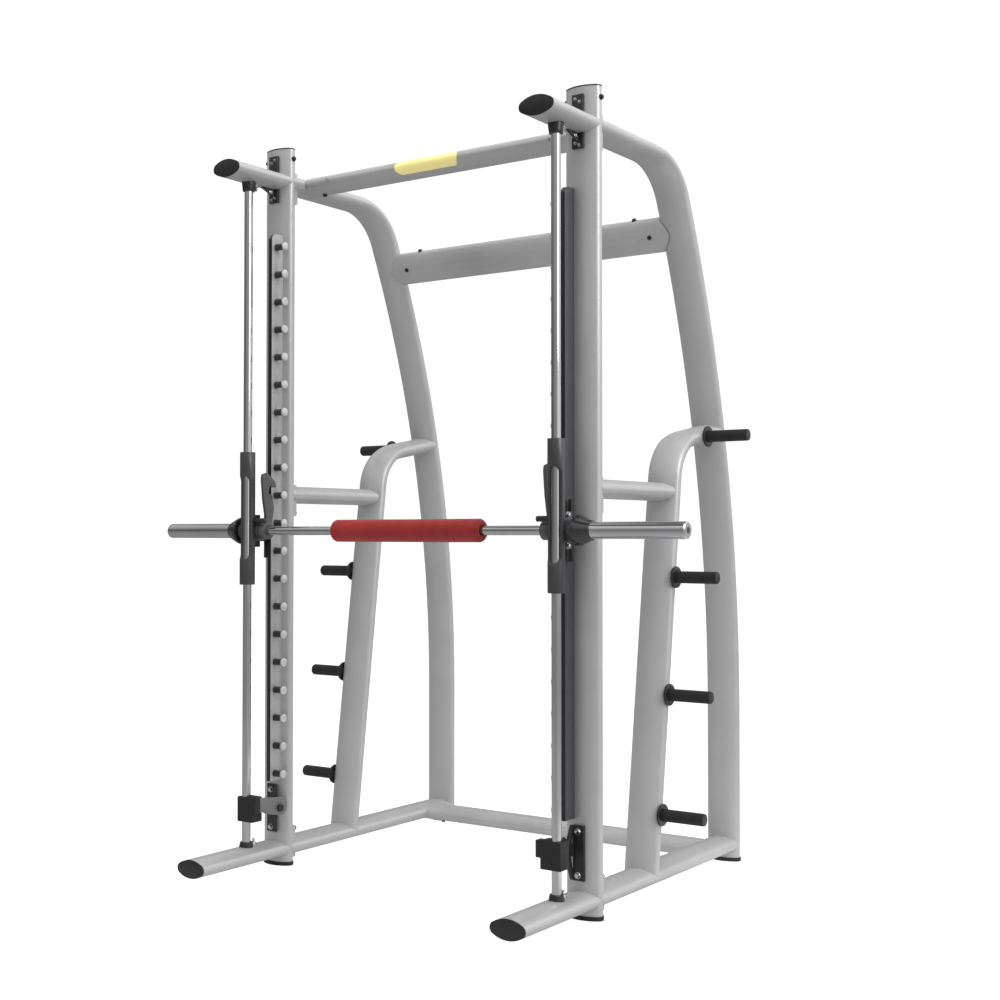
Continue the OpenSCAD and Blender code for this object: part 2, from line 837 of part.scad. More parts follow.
// Long tube with a bush in each end and a pocket in front that shows the guide rod
module carriage_housing(s) {
    window_y = -rod_y - window_cut;
    color(dark_c) on_side(s) difference() {
        translate([side_x, -rod_y, bar_z + house_low])
            cylinder(r = house_r, h = house_high - house_low);
        translate([side_x, -rod_y, bar_z + house_low - 1])
            cylinder(r = rod_way_r, h = house_high - house_low + 2);
        for (z = [house_low - 1, house_high - rod_bush_len])
            translate([side_x, -rod_y, bar_z + z]) cylinder(r = rod_bush_r, h = rod_bush_len + 1);
        translate([side_x - 2 * house_r, 0, bar_z]) along_x(4 * house_r) union() {
            translate([window_y - 2 * house_r, window_low])
                square([2 * house_r - window_end_r, window_high - window_low]);
            translate([window_y - 2 * house_r, window_low + window_end_r])
                square([2 * house_r, window_high - window_low - 2 * window_end_r]);
            for (z = [window_low + window_end_r, window_high - window_end_r])
                translate([window_y - window_end_r, z]) circle(r = window_end_r);
        }
        rod_x(side_x - tube_w, side_x + tube_w, -bar_y, bar_z, bar_way_r);
        translate([0, -turn_stop_y, bar_z + turn_stop_z])
            rod_x(turn_stop_root - 1, side_x, 0, 0, turn_stop_spigot);
    }
}

module rod_bushes() {
    color(bronze_c) both_sides() for (z = [house_low, house_high - rod_bush_len])
        translate([side_x, -rod_y, bar_z + z]) difference() {
            cylinder(r = rod_bush_r, h = rod_bush_len);
            translate([0, 0, -1]) cylinder(r = rod_r + run_gap, h = rod_bush_len + 2);
        }
}

// Block behind the housing that carries the bar, with its bolted flange
module bar_block(s) {
    color(dark_c) on_side(s) difference() {
        union() {
            rod_x(hub_in_x, block_in + 1, -bar_y, bar_z, hub_in_r);
            rod_x(block_out - 1, hub_out_x, -bar_y, bar_z, hub_out_r);
            translate([block_in, -bar_y - hub_in_r, bar_z - block_half_h])
                cube([block_out - block_in, bar_y + hub_in_r - block_back, 2 * block_half_h]);
            translate([block_flange_x, -block_bolt_y - block_flange_d / 2,
                bar_z - block_flange_h / 2])
                cube([block_flange_t, block_flange_d, block_flange_h]);
            translate([strip_x, -block_back - 1, bar_z - strip_web_h / 2])
                cube([strip_t, block_back + 1 - strip_front, strip_web_h]);
        }
        translate([side_x, -rod_y, 0]) cylinder(r = house_r, h = total_h);
        translate([side_x - 2 * house_r, -rod_y - 2 * house_r, 0])
            cube([4 * house_r, 2 * house_r, total_h]);
        rod_x(0, frame_w, -bar_y, bar_z, bar_way_r);
        rod_x(hub_in_x - 1, hub_in_x + bar_bush_in, -bar_y, bar_z, bar_bush_r);
        rod_x(hub_out_x - bar_bush_out, hub_out_x + 1, -bar_y, bar_z, bar_bush_r);
    }
}

module bar_bushes() {
    color(bronze_c) both_sides()
        for (b = [[hub_in_x, bar_bush_in], [hub_out_x - bar_bush_out, bar_bush_out]])
            difference() {
                rod_x(b[0], b[0] + b[1], -bar_y, bar_z, bar_bush_r);
                rod_x(b[0] - 1, b[0] + b[1] + 1, -bar_y, bar_z, shaft_r + run_gap);
            }
}

module guide_strips() {
    color(black_c) both_sides() translate([strip_x, -strip_front, bar_z - strip_h / 2])
        cube([strip_t, strip_front - strip_back, strip_h]);
}

module block_bolts() {
    color(chrome_c) both_sides() for (z = [-1, 1])
        translate([block_flange_x + block_flange_t, -block_bolt_y, bar_z + z * block_bolt_z])
            rotate([0, 90, 0]) bolt_head(block_bolt_r);
}

// Pins that stop the hooks when the bar is turned forward
module turn_stops() {
    color(black_c) both_sides() translate([0, -turn_stop_y, bar_z + turn_stop_z]) {
        rod_x(turn_stop_end, turn_stop_root, 0, 0, turn_stop_r);
        rod_x(turn_stop_root, turn_stop_root + 9, 0, 0, turn_stop_spigot);
    }
}

// ---- bar ---------------------------------------------------------------------------------

module bar_shaft() {
    color(chrome_c) centred() rod_x(-shaft_end, shaft_end, -bar_y, bar_z, shaft_r);
}

// Outline in the latched position.  The throat is a straight slot square to the line from
// the bar to the peg, so that the beak swings clear over its peg.
module hook_outline() {
    slot_half = peg_r + catch_gap;
    difference() {
        union() {
            polygon([[-20, 12], [12, 40], [19, 100], [33, 166], [41, 181], [61, 181],
                [88, 143], [88, 130], [82, 122], [60, 126], [60, 100], [57, 62], [50, 48],
                [26, 8]]);
            circle(r = hook_boss_r);
        }
        translate([catch_y, hook_reach]) rotate(atan2(-catch_y, hook_reach))
            translate([-slot_half, -slot_half]) square([hook_reach, 2 * slot_half]);
    }
}

module hook(s) {
    color(steel_c) on_side(s) at_bar() rotate([hook_tilt, 0, 0]) difference() {
        union() {
            translate([hook_x, 0, 0]) along_x(hook_t) hook_outline();
            rod_x(hook_boss_in, hook_boss_out, 0, 0, hook_boss_r);
        }
        rod_x(hook_boss_in - 1, hook_boss_out + 1, 0, 0, shaft_r);
    }
}

// Padded sleeve with rounded ends, a little off centre on the shaft
module bar_pad() {
    half = pad_len / 2;
    edge = pad_r - pad_round;
    color(red_c) centred() at_bar() translate([pad_x, 0, 0]) rotate([0, 90, 0])
        rotate_extrude() difference() {
            union() {
                translate([0, -half]) square([edge, pad_len]);
                translate([0, pad_round - half]) square([pad_r, pad_len - 2 * pad_round]);
                for (z = [-1, 1]) translate([edge, z * (half - pad_round)]) circle(r = pad_round);
            }
            translate([-pad_r, -pad_len]) square([pad_r + pad_bore_r, 2 * pad_len]);
        }
}

// Collar and plate sleeve in one turned piece, running on the shaft at both ends
module sleeve(s) {
    run_r = shaft_r + run_gap;
    cap_seat = sleeve_end - sleeve_cap_t;
    color(chrome_c) on_side(s) at_bar() rotate([0, 90, 0]) rotate_extrude()
        polygon([[run_r, collar_x], [collar_r, collar_x], [collar_r, collar_x + collar_rim],
            [collar_end_r, collar_end_x], [sleeve_r, collar_end_x],
            [sleeve_r, sleeve_end - sleeve_bevel], [sleeve_r - sleeve_bevel, sleeve_end],
            [sleeve_cap_r, sleeve_end], [sleeve_cap_r, cap_seat], [run_r, cap_seat],
            [run_r, cap_seat - sleeve_land], [run_r + 2, cap_seat - sleeve_land],
            [run_r + 2, collar_end_x], [run_r, collar_end_x]]);
}

module sleeve_cap(s) {
    color(black_c) on_side(s) at_bar()
        rod_x(sleeve_end - sleeve_cap_t, sleeve_end, 0, 0, sleeve_cap_r);
}

// ---- assembly ----------------------------------------------------------------------------

upright(-1);  // left_upright
upright(1);  // right_upright
base_stub(-1);  // left_base_stub
base_stub(1);  // right_base_stub
base_rail(-1);  // left_base_rail
base_rail(1);  // right_base_rail
rear_leg(-1);  // left_rear_leg
rear_leg(1);  // right_rear_leg
storage_post(-1);  // left_storage_post
storage_post(1);  // right_storage_post
link_arm(-1);  // left_link_arm
link_arm(1);  // right_link_arm
top_arm(-1);  // left_top_arm
top_arm(1);  // right_top_arm
top_crossmember();
rear_crossmember();
floor_crossmember();
rail_flanges();
crossmember_stubs();
top_arm_plates();
upright_caps();
tube_end_caps();
feet();
name_plate();
frame_bolts();
guide_rod(-1);  // left_guide_rod
guide_rod(1);  // right_guide_rod
rod_collars();
bright_bolts();
peg_rail(-1);  // left_peg_rail
peg_rail(1);  // right_peg_rail
pegs(-1);  // left_pegs
pegs(1);  // right_pegs
stop_brackets();
stop_arms();
stop_pins();
stop_bumpers();
horn_tubes();
horn_flanges();
horn_sleeves();
horn_end_caps();
carriage_housing(-1);  // left_carriage_housing
carriage_housing(1);  // right_carriage_housing
bar_block(-1);  // left_bar_block
bar_block(1);  // right_bar_block
guide_strips();
rod_bushes();
bar_bushes();
block_bolts();
turn_stops();
bar_shaft();
hook(-1);  // left_hook
hook(1);  // right_hook
bar_pad();
sleeve(-1);  // left_sleeve
sleeve(1);  // right_sleeve
sleeve_cap(-1);  // left_sleeve_cap
sleeve_cap(1);  // right_sleeve_cap
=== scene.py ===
"""Looks of the smith machine: materials, edges, foam sleeve, floor, light and camera."""

import json
import math

import bmesh
import bpy
from mathutils import Matrix, Vector, noise

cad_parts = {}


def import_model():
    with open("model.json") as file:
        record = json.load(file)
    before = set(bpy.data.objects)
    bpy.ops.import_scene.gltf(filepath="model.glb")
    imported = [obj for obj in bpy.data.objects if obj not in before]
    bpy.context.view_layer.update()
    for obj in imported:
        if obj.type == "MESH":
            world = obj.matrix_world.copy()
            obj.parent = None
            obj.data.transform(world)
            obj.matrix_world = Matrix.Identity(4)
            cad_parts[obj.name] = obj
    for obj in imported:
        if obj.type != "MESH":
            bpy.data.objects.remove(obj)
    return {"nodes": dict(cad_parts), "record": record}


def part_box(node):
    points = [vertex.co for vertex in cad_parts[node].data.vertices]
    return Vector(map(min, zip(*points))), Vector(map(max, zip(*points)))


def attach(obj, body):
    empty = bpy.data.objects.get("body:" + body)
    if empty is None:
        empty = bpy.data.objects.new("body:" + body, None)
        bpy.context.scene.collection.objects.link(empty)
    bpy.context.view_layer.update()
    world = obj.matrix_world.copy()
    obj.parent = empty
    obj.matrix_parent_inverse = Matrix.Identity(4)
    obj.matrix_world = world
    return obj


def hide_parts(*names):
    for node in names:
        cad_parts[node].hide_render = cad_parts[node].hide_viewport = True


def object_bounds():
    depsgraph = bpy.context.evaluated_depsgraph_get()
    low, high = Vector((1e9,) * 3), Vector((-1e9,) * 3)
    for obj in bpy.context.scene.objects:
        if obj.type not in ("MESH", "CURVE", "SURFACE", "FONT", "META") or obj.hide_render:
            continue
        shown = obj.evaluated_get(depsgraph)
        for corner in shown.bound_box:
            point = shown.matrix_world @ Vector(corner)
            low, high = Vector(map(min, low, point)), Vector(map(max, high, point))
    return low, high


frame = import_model()
nodes = frame["nodes"]
cad_lo, cad_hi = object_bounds()

UP = (0, 0, 1)
TO_FRONT = (0.57, -0.82, 0.0)
TO_RIGHT = (0.82, 0.57, 0.0)


# ---- materials ----------------------------------------------------------------------------

RANGE_KEYS = ("From Min", "From Max", "To Min", "To Max")
NOISE_SPAN = (0.3, 0.7)
WEAR_REACH = 0.0012


class Surface:
    """A Principled material built up from noise in object space, one property at a time."""

    def __init__(self, name, colour, roughness, metallic=0.0):
        self.mat = bpy.data.materials.new(name)
        self.mat.use_nodes = True
        self.tree = self.mat.node_tree
        self.shader = self.tree.nodes["Principled BSDF"]
        self.colour = colour
        self.roughness = roughness
        self.shader.inputs["Base Color"].default_value = (*colour, 1)
        self.shader.inputs["Roughness"].default_value = roughness
        self.shader.inputs["Metallic"].default_value = metallic
        self.coords = self.add("ShaderNodeTexCoord").outputs["Object"]
        self.paint = None
        self.normal = None

    def add(self, kind, **inputs):
        node = self.tree.nodes.new(kind)
        for key, value in inputs.items():
            node.inputs[key].default_value = value
        return node

    def link(self, a, b):
        self.tree.links.new(a, b)

    def math(self, operation, a, b=None, clamp=False):
        node = self.add("ShaderNodeMath")
        node.operation = operation
        node.use_clamp = clamp
        for socket, value in zip(node.inputs, (a, b)):
            if isinstance(value, (int, float)):
                socket.default_value = value
            elif value is not None:
                self.link(value, socket)
        return node.outputs[0]

    def measure(self, operation, a, b=None):
        """One number from one vector or two."""
        node = self.add("ShaderNodeVectorMath")
        node.operation = operation
        self.link(a, node.inputs[0])
        if isinstance(b, tuple):
            node.inputs[1].default_value = b
        elif b is not None:
            self.link(b, node.inputs[1])
        return node.outputs["Value"]

    def spread(self, value, low, high, to_low=0.0, to_high=1.0):
        """The value's range from low to high, stretched to to_low to to_high."""
        node = self.add("ShaderNodeMapRange")
        self.link(value, node.inputs["Value"])
        for key, number in zip(RANGE_KEYS, (low, high, to_low, to_high)):
            node.inputs[key].default_value = number
        return node.outputs[0]

    def noise(self, scale, detail=2.0, stretch=(1, 1, 1)):
        place = self.add("ShaderNodeMapping")
        place.inputs["Scale"].default_value = stretch
        self.link(self.coords, place.inputs["Vector"])
        node = self.add("ShaderNodeTexNoise", Scale=scale, Detail=detail)
        self.link(place.outputs[0], node.inputs["Vector"])
        return node.outputs["Fac"]

    def cells(self, scale):
        node = self.add("ShaderNodeTexVoronoi", Scale=scale)
        self.link(self.coords, node.inputs["Vector"])
        return node.outputs["Distance"]

    def mix_colour(self, factor, a, b):
        node = self.add("ShaderNodeMix")
        node.data_type = "RGBA"
        self.link(factor, node.inputs["Factor"])
        for socket, value in ((node.inputs[6], a), (node.inputs[7], b)):
            if isinstance(value, tuple):
                socket.default_value = (*value, 1)
            else:
                self.link(value, socket)
        return node.outputs[2]

    def mottle(self, amount, scale=7.0, detail=4.0):
        """Slow drift of the colour to either side of its value."""
        dark = tuple(c * (1 - amount) for c in self.colour)
        light = tuple(min(1.0, c * (1 + amount)) for c in self.colour)
        drift = self.spread(self.noise(scale, detail), *NOISE_SPAN)
        self.paint = self.mix_colour(drift, dark, light)
        self.link(self.paint, self.shader.inputs["Base Color"])
        return self

    def smudge(self, amount, scale=22.0, stretch=(1, 1, 1)):
        """Uneven gloss."""
        low, high = self.roughness - amount, self.roughness + amount
        gloss = self.spread(self.noise(scale, 5.0, stretch), *NOISE_SPAN, low, high)
        self.link(gloss, self.shader.inputs["Roughness"])
        return self

    def bump(self, height, depth):
        """Fine relief on top of what is there already."""
        node = self.add("ShaderNodeBump", Strength=1.0, Distance=depth)
        self.link(height, node.inputs["Height"])
        if self.normal is not None:
            self.link(self.normal, node.inputs["Normal"])
        self.normal = node.outputs[0]
        self.link(self.normal, self.shader.inputs["Normal"])
        return self

    def wear(self, colour, amount):
        """Paint rubbed through along edges, in patches."""
        bevel = self.add("ShaderNodeBevel", Radius=WEAR_REACH)
        bevel.samples = 4
        flat = self.add("ShaderNodeNewGeometry").outputs["Normal"]
        turned = self.math("SUBTRACT", 1.0, self.measure("DOT_PRODUCT", bevel.outputs[0], flat))
        edge = self.spread(turned, 0.03, 0.2)
        patchy = self.spread(self.noise(140.0, 6.0), 0.46, 0.62, 0.0, amount)
        mask = self.math("MULTIPLY", edge, patchy, clamp=True)
        self.link(self.mix_colour(mask, self.paint, colour), self.shader.inputs["Base Color"])
        self.link(mask, self.shader.inputs["Metallic"])
        return self

    def two_tone_and_painted_light(self, inside, colour, metallic=0.0):
        """Another colour where inside is 1: a second finish, and at some uses painted light and
        shade.
        """
        self.paint = self.mix_colour(inside, self.paint, colour)
        self.link(self.paint, self.shader.inputs["Base Color"])
        if metallic:
            base = self.shader.inputs["Metallic"].default_value
            self.link(self.spread(inside, 0, 1, base, metallic), self.shader.inputs["Metallic"])
        return self

    def axis(self, index):
        """The point's X, Y or Z."""
        split = self.add("ShaderNodeSeparateXYZ")
        self.link(self.coords, split.inputs[0])
        return split.outputs[index]

    def nearer_middle(self, limit):
        """1 where the point is closer than limit to the machine's middle plane."""
        return self.math("LESS_THAN", self.math("ABSOLUTE", self.axis(0)), limit)

    def round_bar(self, radius):
        """1 where the point is closer than radius to the bar's axis."""
        flat = self.add("ShaderNodeMapping")
        flat.inputs["Scale"].default_value = (0, 1, 1)
        self.link(self.coords, flat.inputs["Vector"])
        far = self.measure("DISTANCE", flat.outputs[0], (0, *bar_centre[1:]))
        return self.math("LESS_THAN", far, radius)

    def fixed(self, **values):
        """Values that are the same all over, set on the shader's own sockets."""
        for key, value in values.items():
            self.shader.inputs[key.replace("_", " ")].default_value = value
        return self


def powder_coat(name, colour, roughness, metallic=0.0, peel=0.00006):
    """Baked paint with orange peel and a finer grain over it."""
    s = Surface(name, colour, roughness, metallic)
    s.mottle(0.035).smudge(0.05)
    s.bump(s.noise(420.0, 2.0), peel).bump(s.noise(2600.0, 1.0), depth=0.000012)
    return s


def polished(name, colour, roughness, stretch):
    """Chrome with polishing marks drawn out along the axis where stretch is small."""
    s = Surface(name, colour, roughness, metallic=1.0)
    s.mottle(0.03, 12.0).smudge(0.035, 30.0, stretch)
    s.bump(s.noise(900.0, 3.0, stretch), depth=0.000001)
    return s


ALL_WAYS = (1, 1, 1)
ALONG_X = (0.05, 1, 1)
ALONG_Z = (1, 1, 0.05)
PEG_HEAD = 0.005
COLLAR_END = 0.7003
BORE_SHADE_RADIUS = 0.0095
bar_centre = (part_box("bar_shaft")[0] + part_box("bar_shaft")[1]) / 2
peg_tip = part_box("right_pegs")[0].x
peg_rail_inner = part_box("right_peg_rail")[0].x
peg_rail_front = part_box("right_peg_rail")[0].y


def make_paints(made):
    worn_steel = (0.46, 0.455, 0.445)
    frame_paint = powder_coat("frame_paint", (0.50, 0.50, 0.505), roughness=0.40, metallic=0.35)
    made["frame_paint"] = frame_paint.fixed(Coat_Weight=0.12, Coat_Roughness=0.25)
    black_paint = powder_coat("black_paint", (0.018, 0.018, 0.02), roughness=0.34)
    made["black_paint"] = black_paint.wear(worn_steel, amount=0.5)
    made["bolt_steel"] = powder_coat(
        "bolt_steel", (0.03, 0.03, 0.032), roughness=0.30, metallic=0.5, peel=0.00002
    )
    dark_paint = powder_coat("dark_paint", (0.060, 0.061, 0.064), roughness=0.36, metallic=0.25)
    made["dark_paint"] = dark_paint.fixed(Coat_Weight=0.2, Coat_Roughness=0.2)

    cream = Surface("cream_plate", (0.94, 0.82, 0.33), roughness=0.30)
    cream.mottle(0.02, 30.0).smudge(0.03).bump(cream.noise(700.0, 2.0), depth=0.00001)
    # The plate also glows faintly (emission): painted light, so it comes out brighter than the
    # lamps make it.
    made["cream_plate"] = cream.fixed(
        Coat_Weight=0.4,
        Coat_Roughness=0.1,
        Emission_Color=(0.92, 0.80, 0.30, 1),
        Emission_Strength=0.18,
    )


def make_soft(made):
    plastic = Surface("black_plastic", (0.016, 0.016, 0.018), roughness=0.42)
    plastic.mottle(0.08, 18.0).smudge(0.06)
    made["black_plastic"] = plastic.bump(plastic.cells(1500.0), depth=0.00004)

    rubber = Surface("black_rubber", (0.013, 0.013, 0.014), roughness=0.62)
    rubber.mottle(0.12, 30.0).smudge(0.07)
    made["black_rubber"] = rubber.bump(rubber.noise(1800.0, 4.0), depth=0.00006)

    foam = Surface("red_foam", (0.30, 0.011, 0.012), roughness=0.66)
    foam.mottle(0.14, 16.0, 6.0).smudge(0.08, 45.0)
    foam.bump(foam.cells(1400.0), depth=0.00022).bump(foam.noise(260.0, 3.0), depth=0.00025)
    made["red_foam"] = foam.fixed(
        Sheen_Weight=0.35, Sheen_Roughness=0.5, Sheen_Tint=(1.0, 0.35, 0.33, 1)
    )


def make_chrome(made):
    made["chrome"] = polished("chrome", (0.66, 0.66, 0.67), 0.09, ALL_WAYS)
    made["chrome_rod"] = polished("chrome_rod", (0.62, 0.62, 0.63), 0.10, ALONG_Z)
    made["chrome_bar"] = polished("chrome_bar", (0.56, 0.56, 0.57), 0.12, ALONG_X)

    sleeve = polished("chrome_sleeve", (0.60, 0.60, 0.61), 0.10, ALONG_X)
    collar = sleeve.nearer_middle(COLLAR_END)
    made["chrome_sleeve"] = sleeve.two_tone_and_painted_light(collar, (0.09, 0.09, 0.093), metallic=0.8)

    end = polished("sleeve_end", (0.50, 0.50, 0.51), 0.22, ALL_WAYS)
    # Painted shade: a near-black disc round the bar's axis stands in for the shade inside the
    # sleeve end's bore.
    bore = end.round_bar(BORE_SHADE_RADIUS)
    made["sleeve_end"] = end.two_tone_and_painted_light(bore, (0.03, 0.03, 0.032), metallic=0.2)


def make_steels(made):
    bare = Surface("bare_steel", (0.40, 0.40, 0.40), roughness=0.34, metallic=1.0)
    bare.mottle(0.10, 25.0).smudge(0.08, 60.0)
    made["bare_steel"] = bare.bump(bare.noise(500.0, 4.0, (1, 1, 8)), depth=0.00002)
    made["hook_steel"] = powder_coat(
        "hook_steel", (0.115, 0.115, 0.118), roughness=0.36, metallic=0.45, peel=0.00003
    )
    made["arm_steel"] = powder_coat(
        "arm_steel", (0.20, 0.20, 0.205), roughness=0.40, metallic=0.4, peel=0.00004
    )

    pegs = Surface("peg_steel", (0.055, 0.055, 0.058), roughness=0.32, metallic=0.7)
    pegs.mottle(0.06, 40.0).smudge(0.06, 50.0)
    # Painted highlight: the pegs' end faces are painted near-white, standing in for the light that
    # falls on them.
    lit_head_highlight = pegs.nearer_middle(peg_tip + PEG_HEAD + 0.0002)
    made["peg_steel"] = pegs.two_tone_and_painted_light(lit_head_highlight, (0.74, 0.74, 0.73), metallic=0.85)

    rail = powder_coat("peg_rail", (0.085, 0.086, 0.09), roughness=0.38, metallic=0.25)
    rail.two_tone_and_painted_light(rail.nearer_middle(peg_rail_inner + 0.0008), (0.46, 0.46, 0.465))
    front = rail.math("LESS_THAN", rail.axis(1), peg_rail_front + 0.0012)
    made["peg_rail"] = rail.two_tone_and_painted_light(front, (0.02, 0.02, 0.021))

    bronze = Surface("bronze", (0.50, 0.34, 0.15), roughness=0.38, metallic=1.0)
    made["bronze"] = bronze.mottle(0.12, 60.0).bump(bronze.noise(1200.0, 3.0), depth=0.00001)


def make_materials():
    made = {}
    make_paints(made)
    make_soft(made)
    make_chrome(made)
    make_steels(made)
    return {key: s.mat for key, s in made.items()}


materials = make_materials()
FINER = {
    "left_guide_rod": "chrome_rod",
    "right_guide_rod": "chrome_rod",
    "bar_shaft": "chrome_bar",
    "left_sleeve_cap": "sleeve_end",
    "right_sleeve_cap": "sleeve_end",
    "left_sleeve": "chrome_sleeve",
    "right_sleeve": "chrome_sleeve",
    "left_hook": "hook_steel",
    "right_hook": "hook_steel",
    "stop_arms": "arm_steel",
    "left_pegs": "peg_steel",
    "right_pegs": "peg_steel",
    "left_peg_rail": "peg_rail",
    "right_peg_rail": "peg_rail",
}
slots = {s["node"]: s["material_slot"] for s in frame["record"]["subparts"]}
for name, obj in nodes.items():
    obj.data.materials.clear()
    obj.data.materials.append(materials[FINER.get(name, slots[name])])


# ---- edges and shading of the CAD pieces --------------------------------------------------


SMOOTH_BELOW = math.radians(28)
BEVEL_ABOVE = math.radians(38)
WELD_REACH = 0.00001


def smooth_group():
    """Geometry nodes that shade smooth across shallow edges and sharp across steep ones."""
    group = bpy.data.node_groups.new("smooth_shallow_edges", "GeometryNodeTree")
    group.interface.new_socket("Geometry", in_out="INPUT", socket_type="NodeSocketGeometry")
    group.interface.new_socket("Geometry", in_out="OUTPUT", socket_type="NodeSocketGeometry")
    start = group.nodes.new("NodeGroupInput")
    end = group.nodes.new("NodeGroupOutput")
    faces = group.nodes.new("GeometryNodeSetShadeSmooth")
    faces.domain = "FACE"
    edges = group.nodes.new("GeometryNodeSetShadeSmooth")
    edges.domain = "EDGE"
    edges.inputs["Shade Smooth"].default_value = False
    angle = group.nodes.new("GeometryNodeInputMeshEdgeAngle")
    steep = group.nodes.new("FunctionNodeCompare")
    steep.operation = "GREATER_THAN"
    steep.inputs[1].default_value = SMOOTH_BELOW
    for a, b in (
        (start.outputs[0], faces.inputs["Geometry"]),
        (faces.outputs[0], edges.inputs["Geometry"]),
        (angle.outputs["Unsigned Angle"], steep.inputs[0]),
        (steep.outputs[0], edges.inputs["Selection"]),
        (edges.outputs[0], end.inputs[0]),
    ):
        group.links.new(a, b)
    return group


BEVELS = {
    0.003: "stop_bumpers",
    0.0016: "tube_end_caps upright_caps feet horn_flanges left_peg_rail right_peg_rail",
    0.0012: """left_bar_block right_bar_block left_hook right_hook left_pegs right_pegs guide_strips
        top_arm_plates rail_flanges horn_end_caps stop_brackets stop_arms turn_stops""",
    0.0008: """left_sleeve right_sleeve rod_collars left_carriage_housing
        right_carriage_housing""",
    0.0004: "frame_bolts bright_bolts block_bolts",
}


def shade(obj, smooth, bevel):
    """Softened edges of the given width, and smooth shading, without changing the mesh."""
    custom = obj.data.attributes.get("custom_normal")
    if custom is not None:
        obj.data.attributes.remove(custom)
    weld = obj.modifiers.new("weld", "WELD")
    weld.merge_threshold = WELD_REACH
    if bevel:
        edge = obj.modifiers.new("edges", "BEVEL")
        edge.width = bevel
        edge.segments = 2
        edge.limit_method = "ANGLE"
        edge.angle_limit = BEVEL_ABOVE
        edge.use_clamp_overlap = True
    obj.modifiers.new("smooth", "NODES").node_group = smooth


bevel_of = {name: width for width, names in BEVELS.items() for name in names.split()}
smooth_shading = smooth_group()
for name, obj in nodes.items():
    shade(obj, smooth_shading, bevel_of.get(name, 0.0))


# ---- foam sleeve on the bar ---------------------------------------------------------------


ROUND_R = 0.013
BORE_GAP = 0.0004
SLACK, WAVE, GRAIN = 0.0006, 0.0009, 0.0003
RINGS, TURNS, ROUND_STEPS = 150, 72, 9


def foam_profile(half, bore, radius):
    """The tube's outline from its left end to its right, as (x, radius) pairs."""
    end = [(-half + 0.004, bore), (-half + 0.0012, bore + 0.003)]
    for i in range(ROUND_STEPS + 1):
        a = math.pi / 2 * (1 - i / ROUND_STEPS)
        end.append((-half + ROUND_R * (1 - math.sin(a)), radius - ROUND_R * (1 - math.cos(a))))
    length = 2 * half - 2 * ROUND_R
    middle = [(-half + ROUND_R + length * i / RINGS, radius) for i in range(1, RINGS)]
    return end + middle + [(-x, r) for x, r in reversed(end)]


def foam_radius(x, r, t, half):
    """The radius with the foam's slow waves and fine unevenness taken off."""
    n = noise.noise(Vector((x * 9, math.cos(t) * 1.3, math.sin(t) * 1.3)))
    fine = noise.noise(Vector((x * 55, math.cos(t) * 4, math.sin(t) * 4)))
    ease = min(1.0, (half - abs(x)) / 0.03)
    return r - SLACK - WAVE * ease * (0.5 + 0.5 * n) - GRAIN * (0.5 + 0.5 * fine)


def foam_sleeve():
    """A long foam tube, a little slack between its ends, with soft rounded end faces."""
    lo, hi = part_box("bar_pad")
    shaft_lo, shaft_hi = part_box("bar_shaft")
    centre = (lo + hi) / 2
    radius = (hi.z - lo.z) / 2
    bore = (shaft_hi.z - shaft_lo.z) / 2 + BORE_GAP
    half = (hi.x - lo.x) / 2
    bm = bmesh.new()
    loops = []
    for x, r in foam_profile(half, bore, radius):
        loop = []
        for k in range(TURNS):
            t = 2 * math.pi * k / TURNS
            r2 = foam_radius(x, r, t, half) if r > bore + 0.004 else r
            p = Vector((x, math.cos(t) * r2, math.sin(t) * r2))
            loop.append(bm.verts.new(centre + p))
        loops.append(loop)
    loops.append(loops[0])
    for a, b in zip(loops, loops[1:]):
        for k in range(TURNS):
            k2 = (k + 1) % TURNS
            bm.faces.new((a[k], a[k2], b[k2], b[k]))
    bmesh.ops.recalc_face_normals(bm, faces=bm.faces)
    mesh = bpy.data.meshes.new("foam_sleeve")
    bm.to_mesh(mesh)
    bm.free()
    mesh.shade_smooth()
    mesh.materials.append(materials["red_foam"])
    obj = bpy.data.objects.new("foam_sleeve", mesh)
    bpy.context.scene.collection.objects.link(obj)
    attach(obj, "bar")
    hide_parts("bar_pad")


foam_sleeve()


# ---- floor, light and camera --------------------------------------------------------------


FLOOR_SIZE = 40.0
FLOOR_DROP = 0.0005
FLOOR_WHITE = 0.90
FLOOR_BOUNCE = 0.62
WORLD_WHITE = 1.05
WORLD_BASE = 0.13


def floor():
    """Pale floor: white to the camera with soft contact shadows, and a bounce that fades out.

    Reflections see less of the bounce than soft light does, except towards the right.
    """
    s = Surface("floor", (0.30, 0.30, 0.30), roughness=0.6)
    s.mottle(0.01, 1.5)
    bounce = s.spread(s.measure("LENGTH", s.coords), 0.7, 2.4, FLOOR_BOUNCE, 0.05)
    change = s.spread(s.measure("DOT_PRODUCT", s.coords, TO_RIGHT), 0.6, 0.95, -0.72, 0.5)
    ray = s.add("ShaderNodeLightPath").outputs
    gain = s.math("ADD", s.math("MULTIPLY", ray["Is Glossy Ray"], change), 1.0)
    bounce = s.math("MULTIPLY", bounce, gain)
    glow = s.math("MAXIMUM", s.math("MULTIPLY", ray["Is Camera Ray"], FLOOR_WHITE), bounce)
    s.link(glow, s.shader.inputs["Emission Strength"])
    s.fixed(Emission_Color=(1, 1, 1, 1), Specular_IOR_Level=0.1)
    corners = [(-1, -1), (1, -1), (1, 1), (-1, 1)]
    mesh = bpy.data.meshes.new("floor")
    mesh.from_pydata([(x * FLOOR_SIZE, y * FLOOR_SIZE, 0) for x, y in corners], [], [(0, 1, 2, 3)])
    mesh.materials.append(s.mat)
    obj = bpy.data.objects.new("floor", mesh)
    obj.location.z = -FLOOR_DROP
    bpy.context.scene.collection.objects.link(obj)


